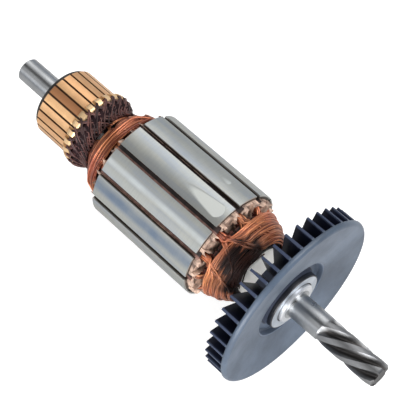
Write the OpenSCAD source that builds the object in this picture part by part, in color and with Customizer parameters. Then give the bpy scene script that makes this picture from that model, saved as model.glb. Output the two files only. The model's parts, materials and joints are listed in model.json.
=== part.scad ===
// Wound armature of a universal motor, with its cooling fan and a cut pinion.
// Millimetres.  The shaft lies along X and the pinion points to +X.
// The origin is on the shaft's axis, at the shoulder of the drive bearing seat.

/* [Shaft] */
// Diameter of both bearing seats
seat_d = 8; // [7:0.1:9]
// Diameter of the shaft between the two seats
shaft_d = 10; // [9.6:0.1:10.6]
// Length of the drive bearing seat, from its shoulder to the pinion
drive_seat_len = 10.3; // [8:0.1:14]
// Length of the rear bearing seat that stands out of the commutator
rear_seat_len = 16.5; // [10:0.5:22]
// Chamfer at the shaft's rear end
shaft_chamfer = 0.5; // [0.2:0.1:1]

/* [Pinion] */
// Number of helical teeth cut into the shaft's end
pinion_teeth = 5; // [4:1:7]
// Length of the pinion, with its cutter run-out
pinion_len = 20.9; // [16:0.1:28]
// Depth of the tooth spaces
tooth_depth = 1.4; // [0.8:0.05:1.6]
// Length along the shaft in which a tooth makes one left-hand turn
pinion_lead = 49; // [35:1:70]
// Length of the cutter run-out
runout_len = 4; // [2:0.1:6]
// Chamfer on the ends of the teeth
pinion_chamfer = 0.6; // [0.3:0.1:1]

/* [Lamination core] */
// Outer diameter of the lamination stack
core_d = 36.6; // [35.8:0.1:38]
// Length of the lamination stack
core_len = 39; // [25:1:60]
// Distance from the bearing shoulder to the stack
core_setback = 27.3; // [27:0.1:32]
// Width of a tooth's neck
tooth_w = 3.4; // [3:0.1:3.8]
// Width of a slot's mouth
mouth_w = 1.8; // [1.6:0.1:2.6]
// Thickness of a tooth's tip at the mouth
tip_t = 1.3; // [1:0.1:1.6]
// Radius of a slot's bottom
slot_bottom_r = 9.7; // [9.4:0.1:10]
// Width of the larger balancing cut
balance_cut_w = 4.9; // [3:0.1:6]
// Length of the larger balancing cut
balance_cut_len = 14.8; // [8:0.1:20]

/* [Insulation] */
// Diameter of the white sleeve where it shows between the winding and the fan
sleeve_d = 16; // [15:0.1:16.4]
// Diameter of the sleeve inside the stack and behind it
sleeve_core_d = 13; // [12.4:0.1:14]
// Thickness of the fibre washer at each end of the stack
end_washer_t = 0.8; // [0.5:0.1:1.2]
// Thickness of the slot liners
liner_t = 0.3; // [0.2:0.05:0.4]
// Length by which the liners stand out of the stack
liner_proud = 2.4; // [2:0.1:3.1]
// Thickness of the slot wedges
wedge_t = 0.6; // [0.4:0.1:0.7]

/* [Winding] */
// Height of the winding head on the fan's side
drive_head_len = 12.8; // [11.5:0.1:13.6]
// Height of the winding head on the commutator's side
rear_head_len = 12.8; // [11.5:0.1:14]
// Distance by which the drive head draws in from its foot to its top
drive_head_draw = 5.8; // [4.5:0.1:6]
// Distance by which the rear head draws in from its foot to its top
rear_head_draw = 5.6; // [4.5:0.1:6]
// Radial thickness of a coil where it climbs out of its slot
leg_t = 2.4; // [2:0.1:2.8]
// Width of the valley between two coils wound opposite each other
valley_w = 8; // [5:0.5:9]
// Length of the bonded coil leads between the head and the commutator
leads_len = 3.7; // [3:0.1:6]
// Radial height of the crossing ridges of the leads
lead_ridge = 0.45; // [0.2:0.05:0.6]

/* [Commutator] */
// Diameter of the brush track
com_d = 23.4; // [22.6:0.1:25]
// Length of the brush track
track_len = 12.7; // [9:0.1:18]
// Length of the hooked end of the bars
hook_len = 3.7; // [3:0.1:5]
// Width of a hook
hook_w = 1.7; // [1.2:0.1:1.9]
// Height of a hook above the brush track
hook_rise = 1.2; // [0.8:0.1:1.6]
// Width of the groove between two bars
bar_gap = 0.5; // [0.4:0.05:0.9]
// Depth by which the moulding lies under the track between the bars
undercut = 0.8; // [0.3:0.1:1.2]
// Length of the moulded ring behind the bars
hub_ring_len = 1.2; // [1:0.1:4]

/* [Fan] */
// Outer diameter of the fan
fan_d = 58.6; // [54:0.2:66]
// Number of blades
blade_count = 40; // [24:1:44]
// Distance from the bearing shoulder back to the blades' tips
blade_reach = 8.2; // [7:0.1:9.5]
// Thickness of a blade at its root
blade_t = 0.95; // [0.7:0.05:1.2]
// Radius at which a blade starts
blade_inner_r = 15.5; // [15:0.5:20]
// Thickness of the dished disc
disc_t = 1.7; // [1.2:0.1:2.2]
// Depth of the dish, from the rim to the lip round the boss
dish_depth = 2; // [1:0.1:2.6]
// Diameter of the lip between the dish and the moat round the boss
lip_d = 27; // [25.4:0.2:28]
// Depth of the moat below the lip
moat_depth = 2; // [0.8:0.1:2.4]
// Radius of the rim's rounded front edge
rim_round = 1.2; // [0.6:0.1:1.6]
// Wall of the boss round the bush's flange
boss_wall = 0.3; // [0.2:0.1:1]
// Length of the hub, from its front face to the blades' side
hub_len = 9.7; // [8:0.1:9.8]
// Diameter of the metal bush's flange
bush_flange_d = 18.8; // [18:0.1:19]
// Diameter of the spacer collar in front of the bush
collar_d = 13.4; // [12:0.1:14.4]

/* [Hidden] */
$fn = 64;
slot_count = 12;
coil_pitch = 5;
bar_count = 2 * slot_count;
layer_count = slot_count / 2;
pitch_a = 360 / slot_count;
bar_a = 360 / bar_count;

// Clocking about the shaft, as angles from +Y towards +Z.
slot_clock = 20;
bar_clock = 20;
blade_clock = 5.9;
pinion_clock = 62;

fit_gap = 0.02;
slip_gap = 0.1;

seat_r = seat_d / 2;
shaft_r = shaft_d / 2;
core_r = core_d / 2;
sleeve_r = sleeve_d / 2;
sleeve_core_r = sleeve_core_d / 2;
com_r = com_d / 2;
fan_r = fan_d / 2;
boss_r = bush_flange_d / 2 + boss_wall;

// Places along the shaft, worked out from the bearing shoulder towards the rear.
core_front = -core_setback;
core_rear = core_front - core_len;
leads_front = core_rear - rear_head_len - slip_gap;
bars_front = leads_front - leads_len;
track_front = bars_front - hook_len;
bars_rear = track_front - track_len;
hub_rear = bars_rear - hub_ring_len;
shaft_rear = hub_rear - rear_seat_len;
pinion_start = drive_seat_len;
shaft_front = pinion_start + pinion_len;

// Fan: the boss's front face stands a little behind the bearing shoulder.
fan_front = -0.2;
boss_front = fan_front - 1;
hub_back = boss_front - hub_len;
bush_flange_t = 2.5;
bush_flange_w = 1.9;
bush_body_r = bush_flange_d / 2 - bush_flange_w;
collar_seat = 2;
collar_front = -0.15;

// Slot: a trapezoid between parallel-sided tooth necks.
slot_top_r = core_r - tip_t;
wedge_top_r = slot_top_r - liner_t - slip_gap;
coil_top_r = wedge_top_r - wedge_t - slip_gap;
coil_bottom_r = slot_bottom_r + liner_t + 2 * slip_gap;
coil_split_r = (coil_bottom_r + coil_top_r) / 2;

// Winding heads: heights measured outwards from the stack's face.
leg_base = liner_proud + slip_gap;
prism_top = leg_base + 0.3;
jog_low = leg_base + 0.5;
jog_top = jog_low + 0.9;
leg_first_a = 1;
leg_last_a = 13.5;
leg_inset = 0.1;

function two(i) = i < 10 ? str("0", i) : str(i);
function polar(r, a) = [r * cos(a), r * sin(a)];
function slot_angle(j) = slot_clock + 150 + j * pitch_a;

// Turns the drawing plane across the shaft: X becomes Y, Y becomes Z and Z becomes X.
module across_shaft() rotate([90, 0, 90]) children();
module turned(profile) across_shaft() rotate_extrude() polygon(profile);

// A closed skin over a list of rings that all have the same number of points.
module lofted(rings) {
    n = len(rings[0]);
    last = (len(rings) - 1) * n;
    sides = [for (j = [0:len(rings) - 2], i = [0:n - 1])
        let (a = j * n + i, b = j * n + (i + 1) % n)
        each [[a, a + n, b + n], [a, b + n, b]]];
    polyhedron(points = [for (ring = rings) each ring],
        faces = concat(sides, [[for (i = [0:n - 1]) i]], [[for (i = [n - 1:-1:0]) last + i]]));
}

// Pinion -------------------------------------------------------------------

pinion_r = seat_r - 0.03;
// Half the tooth space, in degrees of one tooth pitch.
space_half = 112;
space_points = 12;
land_points = 4;
tooth_points = concat(
    [for (k = [0:space_points - 1]) -space_half + 2 * space_half * k / space_points],
    [for (k = [0:land_points - 1]) space_half + (360 - 2 * space_half) * k / land_points]);
function space_shape(t) = abs(t) >= space_half ? 0 : 1 - pow(abs(t) / space_half, 2.3);
// The cutter leaves the shaft on an arc.
runout_arc_r = (runout_len * runout_len + tooth_depth * tooth_depth) / (2 * tooth_depth);
function space_depth(u) = u >= runout_len ? tooth_depth
    : tooth_depth - runout_arc_r + sqrt(runout_arc_r * runout_arc_r - pow(runout_len - u, 2));
// The points of a ring follow the helix, so the teeth keep straight edges.
function pinion_ring(z, cut_back) = [for (k = [0:pinion_teeth - 1], t = tooth_points)
    let (u = z - pinion_start, a = pinion_clock + (360 * k + t) / pinion_teeth - 360 * u / pinion_lead,
        r = pinion_r - max(0, space_depth(max(u, 0))) * space_shape(t))
    concat(polar(min(r, pinion_r - cut_back), a), [z])];
module pinion_skin() {
    runout_steps = 7;
    body_steps = 14;
    body_len = pinion_len - runout_len - pinion_chamfer;
    lofted(concat(
        [pinion_ring(pinion_start - 1, 0)],
        [for (i = [0:runout_steps]) pinion_ring(pinion_start + runout_len * i / runout_steps, 0)],
        [for (i = [1:body_steps]) pinion_ring(pinion_start + runout_len + body_len * i / body_steps, 0)],
        [pinion_ring(shaft_front, pinion_chamfer)]));
}

module shaft() color([0.62, 0.63, 0.65]) {
    turned([[0, shaft_rear], [seat_r - shaft_chamfer, shaft_rear],
        [seat_r, shaft_rear + shaft_chamfer], [seat_r, hub_rear], [shaft_r, hub_rear],
        [shaft_r, 0], [seat_r, 0], [seat_r, pinion_start], [0, pinion_start]]);
    across_shaft() pinion_skin();
}

// Lamination stack -----------------------------------------------------------

// Half the slot's width at radius r, inset from the tooth necks by d.
function slot_half(r, d) = r * tan(pitch_a / 2) - (tooth_w / 2 + d) / cos(pitch_a / 2);
function slot_outline(low, high, d) = [
    [low, -slot_half(low, d)], [high, -slot_half(high, d)],
    [high, slot_half(high, d)], [low, slot_half(low, d)]];
module slot_shape(d) polygon(slot_outline(slot_bottom_r + d, slot_top_r - d, d));

module lamination_shape(outer_r, bore_r) difference() {
    circle(outer_r);
    circle(bore_r);
    for (j = [0:slot_count - 1]) rotate(slot_angle(j)) {
        slot_shape(0);
        translate([slot_top_r - 1, -mouth_w / 2]) square([core_r, mouth_w]);
    }
}

// An end mill that dives slowly into a tooth and lifts: the cut is pointed behind and round in front.
module balance_cut(a, front, cut_len, cut_w) {
    depth = core_r - sqrt(core_r * core_r - cut_w * cut_w / 4);
    mill_r = cut_w / 2 + slip_gap;
    rotate([a, 0, 0]) translate([front - mill_r, core_r - depth, 0])
        rotate([0, 0, -atan(depth / (cut_len - mill_r))]) {
            rotate([-90, 0, 0]) cylinder(r = mill_r, h = cut_w);
            translate([-1.2 * cut_len, 0, -mill_r]) cube([1.2 * cut_len, cut_w, 2 * mill_r]);
        }
}

module lamination_core() color([0.66, 0.67, 0.67]) difference() {
    across_shaft() translate([0, 0, core_rear]) linear_extrude(core_len)
        lamination_shape(core_r, sleeve_core_r + fit_gap);
    balance_cut(slot_clock + 2.5 * pitch_a, core_front - 1.3, balance_cut_len, balance_cut_w);
    balance_cut(slot_clock + 1.5 * pitch_a, core_front - 7.5, balance_cut_len / 3, balance_cut_w / 2);
}

module end_washer(z) color([0.55, 0.45, 0.38]) across_shaft() translate([0, 0, z])
    linear_extrude(end_washer_t) lamination_shape(slot_top_r, sleeve_core_r + fit_gap);

module insulating_sleeve() color([0.95, 0.95, 0.92]) turned([
    [shaft_r + fit_gap, bars_front + slip_gap], [sleeve_core_r, bars_front + slip_gap],
    [sleeve_core_r, core_front + end_washer_t + slip_gap],
    [sleeve_r, core_front + end_washer_t + slip_gap],
    [sleeve_r, hub_back - slip_gap], [shaft_r + fit_gap, hub_back - slip_gap]]);

module along_slots(j, from, to) across_shaft() translate([0, 0, from])
    linear_extrude(to - from) rotate(slot_angle(j)) children();

module slot_liner(j) color([0.62, 0.52, 0.44])
    along_slots(j, core_rear - liner_proud, core_front + liner_proud) difference() {
        slot_shape(slip_gap / 2);
        slot_shape(slip_gap / 2 + liner_t);
        translate([slot_top_r - 1, -mouth_w / 2]) square([2, mouth_w]);
    }

module slot_wedges() color([0.45, 0.27, 0.22]) for (j = [0:slot_count - 1])
    along_slots(j, core_rear - end_washer_t, core_front + end_washer_t)
        polygon(slot_outline(wedge_top_r - wedge_t, wedge_top_r, liner_t + 2 * slip_gap));

// Winding --------------------------------------------------------------------
// Twelve coils in six opposite pairs.  Each coil spans five slots, each slot holds two coil
// sides, and every pair lies one layer further out in both winding heads.

// Outline of a head: share of its height, and how far it has drawn in from the coil's top radius.
function scaled(shares, draw) = [for (s = shares) [s[0], s[1] * draw]];
drive_dome = scaled([[0, 0], [0.35, 0.09], [0.51, 0.19], [0.66, 0.33], [0.82, 0.53], [0.91, 0.72], [1, 1]],
    drive_head_draw);
rear_dome = scaled([[0, 0], [0.35, 0.11], [0.51, 0.25], [0.66, 0.48], [0.82, 0.71], [0.91, 0.86], [1, 1]],
    rear_head_draw);
function dome_r(dome, u) = coil_top_r + slip_gap - lookup(u, dome);

// Layer in which a coil side lies in its slot: 0 at the bottom, 1 under the wedge.
function side_layer(pair, is_end) = is_end ? (pair == 0 ? 0 : 1) : (pair == layer_count - 1 ? 1 : 0);
function layer_low(layer) = layer == 0 ? coil_bottom_r : coil_split_r + slip_gap;
function layer_high(layer) = layer == 0 ? coil_split_r : coil_top_r;

function slab_low(pair, len) = jog_top + slip_gap + (len - jog_top - slip_gap) * pair / layer_count;
function slab_high(pair, len) = slab_low(pair + 1, len) - slip_gap;

// Section of a coil where it climbs from its slot to its own layer of the head.
function leg_profile(pair, layer, dome, len, inner_r) =
    let (top = slab_high(pair, len) - leg_inset / 2, low = slab_low(pair, len) + leg_inset,
        outer = [for (p = dome) if (p[0] * len > jog_low + 0.2 && p[0] * len < top - 0.05) p[0] * len],
        heights = concat([jog_low], outer, [top]),
        inner_heights = [for (h = heights) if (h > jog_top && h < low - 0.05) h])
    concat(
        [[layer_low(layer) + leg_inset, leg_base], [layer_high(layer) - 2 * leg_inset, leg_base],
            [layer_high(layer) - 2 * leg_inset, prism_top + leg_inset],
            [dome_r(dome, jog_low / len), jog_low]],
        [for (i = [1:len(heights) - 1]) [dome_r(dome, heights[i] / len), heights[i]]],
        [[max(inner_r + leg_inset, dome_r(dome, top / len) - leg_t - 1), top],
            [max(inner_r + leg_inset, dome_r(dome, low / len) - leg_t - 1), low],
            [dome_r(dome, low / len) - leg_t, low]],
        [for (i = [len(inner_heights) - 1:-1:0])
            [dome_r(dome, inner_heights[i] / len) - leg_t, inner_heights[i]]],
        [[dome_r(dome, jog_top / len) - leg_t, jog_top], [layer_low(layer) + leg_inset, jog_top]]);

function band_profile(pair, dome, len, inner_r) =
    let (low = slab_low(pair, len), high = slab_high(pair, len),
        back = pair == layer_count - 1 ? leg_inset / 2 : leg_t + slip_gap)
    [[inner_r, low], [dome_r(dome, low / len) - back, low],
        [dome_r(dome, high / len) - back, high], [inner_r, high]];

module swept(from, to, profile) rotate(from) rotate_extrude(angle = to - from) polygon(profile);

// One end of a coil, on a head that grows along +Z from the stack's face at z = 0.
module coil_end(pair, first, dome, len, inner_r) {
    span = coil_pitch * pitch_a;
    swept(first + leg_first_a, first + leg_last_a,
        leg_profile(pair, side_layer(pair, false), dome, len, inner_r));
    swept(first + span - leg_last_a, first + span - leg_first_a,
        leg_profile(pair, side_layer(pair, true), dome, len, inner_r));
    intersection() {
        swept(first + leg_first_a, first + span - leg_first_a,
            band_profile(pair, dome, len, inner_r));
        rotate(first + span / 2) translate([valley_w / 2, -core_r, 0]) cube([core_r, core_d, len]);
    }
}

module coil_side(j, layer) along_slots(j, core_rear - prism_top, core_front + prism_top)
    polygon(slot_outline(layer_low(layer), layer_high(layer), liner_t + 2 * slip_gap));

module coil(i) color([0.72, 0.40, 0.24]) {
    pair = (i - 1) % layer_count;
    slot = i - 1;
    coil_side(slot, side_layer(pair, false));
    coil_side(slot + coil_pitch, side_layer(pair, true));
    across_shaft() {
        translate([0, 0, core_front])
            coil_end(pair, slot_angle(slot), drive_dome, drive_head_len, sleeve_r + slip_gap);
        translate([0, 0, core_rear]) mirror([0, 0, 1])
            coil_end(pair, slot_angle(slot), rear_dome, rear_head_len, sleeve_core_r + slip_gap);
    }
}

// The leads cross over each other in two directions and are bonded into one neck.
neck_inner_r = dome_r(rear_dome, 1) - 0.1;
neck_outer_r = com_r + hook_rise - 0.6;
function neck_r(u) = neck_inner_r + (neck_outer_r - neck_inner_r) * sin(90 * min(1, u / 0.75));
function crossing(a, u) = max(cos(bar_count * a + 300 * u), cos(bar_count * a - 300 * u));
function neck_ring(u) = [for (i = [0:143]) let (a = i * 2.5)
    concat(polar(neck_r(u) - lead_ridge * (1 - crossing(a - bar_clock, u)) / 2, a),
        [leads_front - u * (leads_len - slip_gap)])];
module coil_leads() color([0.27, 0.15, 0.15]) difference() {
    across_shaft() lofted([for (u = [6:-1:0]) neck_ring(u / 6)]);
    turned([[0, bars_front - 1], [sleeve_core_r + slip_gap, bars_front - 1],
        [sleeve_core_r + slip_gap, leads_front + 1], [0, leads_front + 1]]);
}

// Commutator -----------------------------------------------------------------

bar_foot_r = 0.65 * com_r;
bar_chamfer = 0.5;
hook_wire_r = 0.4;
fin_w = bar_gap - 2 * fit_gap;

module bar_gaps(width, inner, outer) for (k = [0:bar_count - 1])
    rotate(bar_clock + bar_a * (k + 0.5)) translate([inner, -width / 2]) square([outer - inner, width]);

module commutator_hub() color([0.10, 0.11, 0.10]) {
    ring_r = com_r - undercut;
    turned([[shaft_r + fit_gap, hub_rear], [ring_r - 0.4, hub_rear], [ring_r, hub_rear + 0.4],
        [ring_r, bars_rear - fit_gap], [bar_foot_r - fit_gap, bars_rear - fit_gap],
        [bar_foot_r - fit_gap, bars_front], [shaft_r + fit_gap, bars_front]]);
    across_shaft() translate([0, 0, bars_rear - 0.5])
        linear_extrude(bars_front - bars_rear + 0.5) intersection() {
            circle(ring_r);
            bar_gaps(fin_w, bar_foot_r - 0.5, com_r);
        }
}

// The bar's section between its two grooves, and the tang folded back over the coil's lead.
module bar_section() difference() {
    polygon([[0, 0], polar(2 * com_r, -bar_a / 2), polar(2 * com_r, bar_a / 2)]);
    for (side = [-1, 1]) rotate(side * bar_a / 2) translate([0, -bar_gap / 2])
        square([2 * com_r, bar_gap]);
}
module hook_outline() difference() {
    translate([0, hook_len / 2]) low_arch(hook_len / 2 - slip_gap, hook_rise);
    translate([0.05, hook_len / 2]) circle(hook_wire_r);
}
// A low arch: the part of a circle that stands by rise above its chord of half-length half.
module low_arch(half, rise) {
    arc_r = (half * half + rise * rise) / (2 * rise);
    intersection() {
        translate([rise - arc_r, 0]) circle(arc_r);
        translate([-0.3, -half]) square([rise + 1, 2 * half]);
    }
}
module commutator_bar(i) color([0.86, 0.62, 0.42]) rotate([bar_clock + bar_a * (i - 1), 0, 0]) {
    seat_low = com_r - 0.15;
    intersection() {
        across_shaft() translate([0, 0, bars_rear]) linear_extrude(bars_front - bars_rear) bar_section();
        turned([[bar_foot_r, bars_rear], [com_r - bar_chamfer, bars_rear],
            [com_r, bars_rear + bar_chamfer], [com_r, track_front], [seat_low, track_front + 0.15],
            [seat_low, bars_front], [bar_foot_r, bars_front]]);
    }
    // The hook's outline lies in the plane of the shaft: its X is radial and its Y runs forwards.
    rotate([90, 0, 90]) multmatrix([[1, 0, 0, com_r], [0, 0, 1, -hook_w / 2], [0, 1, 0, track_front]])
        linear_extrude(hook_w) hook_outline();
}

// Fan ------------------------------------------------------------------------

lip_r = lip_d / 2;
rim_flat_r = fan_r - rim_round;
// Front face of the disc: it sinks from the rim to the lip.
function dish_front(r) = let (u = (rim_flat_r - r) / (rim_flat_r - lip_r))
    fan_front - dish_depth * (0.85 * u + 0.15 * u * u);
moat_floor = dish_front(lip_r) - moat_depth;
hub_r = boss_r + 0.3;
disc_steps = 6;
disc_inner_r = lip_r + disc_t / 2;

function fan_profile() =
    let (radii = [for (i = [0:disc_steps]) disc_inner_r + (rim_flat_r - disc_inner_r) * i / disc_steps],
        back_rim = dish_front(rim_flat_r) - disc_t)
    concat(
        [[bush_body_r + fit_gap, hub_back], [hub_r - 0.4, hub_back], [hub_r, hub_back + 0.4],
            [hub_r, moat_floor - disc_t - 0.5], [hub_r + 0.5, moat_floor - disc_t],
            [lip_r - 0.5, moat_floor - disc_t]],
        [for (r = radii) [r, dish_front(r) - disc_t]],
        [[fan_r - 0.3, back_rim], [fan_r, back_rim + 0.3]],
        [for (a = [0:15:90]) [rim_flat_r + rim_round * cos(a), fan_front - rim_round * (1 - sin(a))]],
        [for (i = [disc_steps - 1:-1:0]) [radii[i], dish_front(radii[i])]],
        [[lip_r, dish_front(lip_r)], [lip_r - 0.3, dish_front(lip_r) - 0.2], [lip_r - 0.6, moat_floor + 0.4],
            [lip_r - 1, moat_floor], [boss_r + 0.6, moat_floor], [boss_r + 0.2, moat_floor + 0.4],
            [boss_r, boss_front - 0.3], [boss_r - 0.15, boss_front],
            [bush_flange_d / 2 + fit_gap, boss_front],
            [bush_flange_d / 2 + fit_gap, boss_front - bush_flange_t - fit_gap],
            [bush_body_r + fit_gap, boss_front - bush_flange_t - fit_gap]]);

// A radial blade with draft, set into the back of the dish.
module blade() {
    root = dish_front(blade_inner_r) - disc_t / 2;
    rim_root = dish_front(rim_flat_r) - disc_t / 2;
    tip_t2 = blade_t * 0.72;
    intersection() {
        across_radius() linear_extrude(fan_r - 0.4) polygon([[-tip_t2 / 2, -blade_reach],
            [tip_t2 / 2, -blade_reach], [blade_t / 2, rim_root], [-blade_t / 2, rim_root]]);
        rotate([90, 0, 0]) translate([0, 0, -blade_t]) linear_extrude(2 * blade_t)
            polygon([[blade_inner_r, root], [blade_inner_r + 1, -blade_reach],
                [fan_r, -blade_reach], [fan_r, rim_root], [rim_flat_r, rim_root]]);
    }
}
// X of the drawing runs round the shaft, Y along it, and the extrusion runs outwards.
module across_radius() multmatrix([[0, 0, 1, 0], [1, 0, 0, 0], [0, 1, 0, 0]]) children();

module fan() color([0.38, 0.43, 0.50]) {
    turned(fan_profile());
    across_shaft() for (k = [0:blade_count - 1]) rotate(blade_clock + 360 * k / blade_count) blade();
}

module fan_bush() color([0.74, 0.77, 0.80]) turned([
    [shaft_r + fit_gap, hub_back], [bush_body_r, hub_back],
    [bush_body_r, boss_front - bush_flange_t], [bush_flange_d / 2, boss_front - bush_flange_t],
    [bush_flange_d / 2, boss_front], [collar_d / 2 + 0.25, boss_front],
    [collar_d / 2 + 0.25, boss_front - collar_seat], [shaft_r + fit_gap, boss_front - collar_seat]]);

module spacer_collar() color([0.86, 0.86, 0.88]) turned([
    [shaft_r + fit_gap, boss_front - collar_seat + fit_gap],
    [collar_d / 2, boss_front - collar_seat + fit_gap], [collar_d / 2, collar_front - 0.4],
    [collar_d / 2 - 0.4, collar_front], [shaft_r + fit_gap, collar_front]]);

shaft();
lamination_core();
insulating_sleeve();
end_washer(core_front);  // drive_end_washer
end_washer(core_rear - end_washer_t);  // rear_end_washer
for (i = [1:slot_count]) slot_liner(i - 1);
slot_wedges();
for (i = [1:slot_count]) coil(i);
coil_leads();
commutator_hub();
for (i = [1:bar_count]) commutator_bar(i);
fan();
fan_bush();
spacer_collar();
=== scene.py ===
# %% [markdown]
# # Motor armature
# This is the turning part of a small motor: a steel shaft with a pinion, a core of steel sheets with twelve
# wound coils, a commutator, an insulating sleeve, and a fan with its bush and collar.  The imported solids
# are loaded as the frame and never move.  Coils, leads and slot papers are drawn again in finer form, every
# other piece keeps its solid and gets a procedural material, and a soft studio lights the part.

# %% Load the frame and note its box
import json
import math
import random

import bmesh
import bpy
from mathutils import Matrix, Vector

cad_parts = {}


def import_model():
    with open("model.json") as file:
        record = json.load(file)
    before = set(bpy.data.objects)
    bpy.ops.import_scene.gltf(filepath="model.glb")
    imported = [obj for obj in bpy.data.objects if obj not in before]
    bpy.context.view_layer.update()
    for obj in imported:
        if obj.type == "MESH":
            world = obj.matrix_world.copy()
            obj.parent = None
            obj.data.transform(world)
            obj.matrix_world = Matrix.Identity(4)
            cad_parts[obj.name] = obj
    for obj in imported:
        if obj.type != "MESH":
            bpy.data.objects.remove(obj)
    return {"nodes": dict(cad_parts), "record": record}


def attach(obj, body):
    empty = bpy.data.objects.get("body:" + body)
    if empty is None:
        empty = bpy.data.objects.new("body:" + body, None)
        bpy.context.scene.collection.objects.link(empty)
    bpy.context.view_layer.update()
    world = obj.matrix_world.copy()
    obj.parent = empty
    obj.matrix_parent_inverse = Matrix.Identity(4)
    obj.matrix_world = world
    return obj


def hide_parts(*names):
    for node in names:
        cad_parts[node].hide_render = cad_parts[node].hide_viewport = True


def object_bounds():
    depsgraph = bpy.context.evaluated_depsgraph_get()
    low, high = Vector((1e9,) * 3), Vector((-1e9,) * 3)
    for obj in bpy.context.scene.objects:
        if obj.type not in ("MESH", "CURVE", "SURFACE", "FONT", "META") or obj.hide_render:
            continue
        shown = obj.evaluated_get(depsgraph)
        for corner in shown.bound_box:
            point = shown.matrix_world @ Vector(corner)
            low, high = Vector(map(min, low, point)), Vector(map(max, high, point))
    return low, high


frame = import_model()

NODES = frame["nodes"]
cad_low, cad_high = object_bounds()
scene = bpy.context.scene
print("CAD nodes:", len(NODES), "box:", tuple(cad_low), tuple(cad_high))

# %% [markdown]
# ## Sizes from the frame
# Finishes and strands have to meet the solids to a tenth of a millimetre.  Their places could all be typed
# in, but places that are read off the solids stay right when a size is changed.  They are in millimetres in
# the row frame: X runs along the shaft from the drive bearing's shoulder towards the pinion, and angles
# about it are counted from +Y towards +Z.

# %% Sizes from the frame
MM = 0.001


def reach(node):
    """A solid's rearmost and foremost place and its largest radius, in millimetres."""
    places = [v.co / MM for v in NODES[node].data.vertices]
    along = [p.x for p in places]
    return round(min(along), 2), round(max(along), 2), round(max(math.hypot(p.y, p.z) for p in places), 2)


def count(stem):
    """How many solids have a name that starts with stem."""
    return sum(name.startswith(stem) for name in NODES)


CORE_REAR, CORE_FRONT, CORE_R = reach("lamination_core")
SLEEVE_R = reach("insulating_sleeve")[2]
SLOTS, BARS = count("slot_liner_"), count("commutator_bar_")
SLOT_PITCH, BAR_PITCH = 360 / SLOTS, 360 / BARS
# Angles of the first slot's and the first bar's middle.
SLOT_CLOCK, BAR_CLOCK = 20.0, 20.0
print("Core from", CORE_REAR, "to", CORE_FRONT, "with radius", CORE_R, "and", SLOTS, "slots;", BARS, "bars")

# %% [markdown]
# ## Short calls for nodes
# A tree of nodes can be wired by hand in Blender's editor, where every link is seen.  In a script each node
# takes several lines, which hides what a finish does.  These calls add a node, set its inputs to a value or
# a link and give back its output, so that a material reads like a recipe.

# %% Short calls for nodes


class Tree:
    """Short calls for the nodes of one tree."""

    def __init__(self, tree):
        self.tree = tree

    def add(self, kind, **settings):
        n = self.tree.nodes.new(kind)
        for key, value in settings.items():
            setattr(n, key, value)
        return n

    def put(self, socket, value):
        if isinstance(value, bpy.types.NodeSocket):
            self.tree.links.new(value, socket)
        elif value is not None:
            socket.default_value = value

    def math(self, op, a, b=None, c=None):
        n = self.add("ShaderNodeMath", operation=op)
        for socket, value in zip(n.inputs, (a, b, c)):
            self.put(socket, value)
        return n.outputs[0]

    def plus(self, a, b):
        return self.math("ADD", a, b)

    def times(self, a, b):
        return self.math("MULTIPLY", a, b)

    def apart(self, a, b):
        """The distance between two values."""
        return self.math("ABSOLUTE", self.math("SUBTRACT", a, b))

    def ramp(self, value, low, high, to_low=0.0, to_high=1.0):
        """Goes from to_low at low to to_high at high, and stays level beyond both."""
        n = self.add("ShaderNodeMapRange")
        for socket, v in zip(n.inputs, (value, low, high, to_low, to_high)):
            self.put(socket, v)
        return n.outputs[0]

    def mix(self, factor, a, b):
        """Colour a at factor 0, colour b at 1."""
        n = self.add("ShaderNodeMix", data_type="RGBA")
        self.put(n.inputs["Factor"], factor)
        self.put([s for s in n.inputs if s.name == "A" and s.type == "RGBA"][0], a)
        self.put([s for s in n.inputs if s.name == "B" and s.type == "RGBA"][0], b)
        return [s for s in n.outputs if s.type == "RGBA"][0]

    def vector(self, x, y, z=None):
        n = self.add("ShaderNodeCombineXYZ")
        for socket, value in zip(n.inputs, (x, y, z)):
            self.put(socket, value)
        return n.outputs[0]

    def noise(self, vector, scale, detail=3.0, roughness=0.5):
        n = self.add("ShaderNodeTexNoise")
        self.put(n.inputs["Vector"], vector)
        self.put(n.inputs["Scale"], scale)
        self.put(n.inputs["Detail"], detail)
        self.put(n.inputs["Roughness"], roughness)
        return n.outputs[0]

    def use(self, g, **values):
        """Places a shader group with its own values."""
        n = self.add("ShaderNodeGroup", node_tree=g)
        for key, value in values.items():
            self.put(n.inputs[key], value)
        return n


def group(name, inputs, outputs):
    """A new shader group with its sockets, its short calls, and its input and output nodes."""
    g = bpy.data.node_groups.new(name, "ShaderNodeTree")
    for label, kind, value in inputs:
        g.interface.new_socket(label, in_out="INPUT", socket_type=kind).default_value = value
    for label, kind in outputs:
        g.interface.new_socket(label, in_out="OUTPUT", socket_type=kind)
    return g, Tree(g), g.nodes.new("NodeGroupInput"), g.nodes.new("NodeGroupOutput")


print("Short calls are ready.")

# %% [markdown]
# ## Places about the shaft
# Nearly every mark on an armature is turned, ground or wound about the shaft.  Such a finish is simple to
# write along the shaft, away from it and round it, and awkward in X, Y and Z.  This group works the three
# out from Object coordinates, which stay with the piece.  Like all the groups it gives values only, and the
# Principled shader stays in each material.

# %% Places about the shaft


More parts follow.
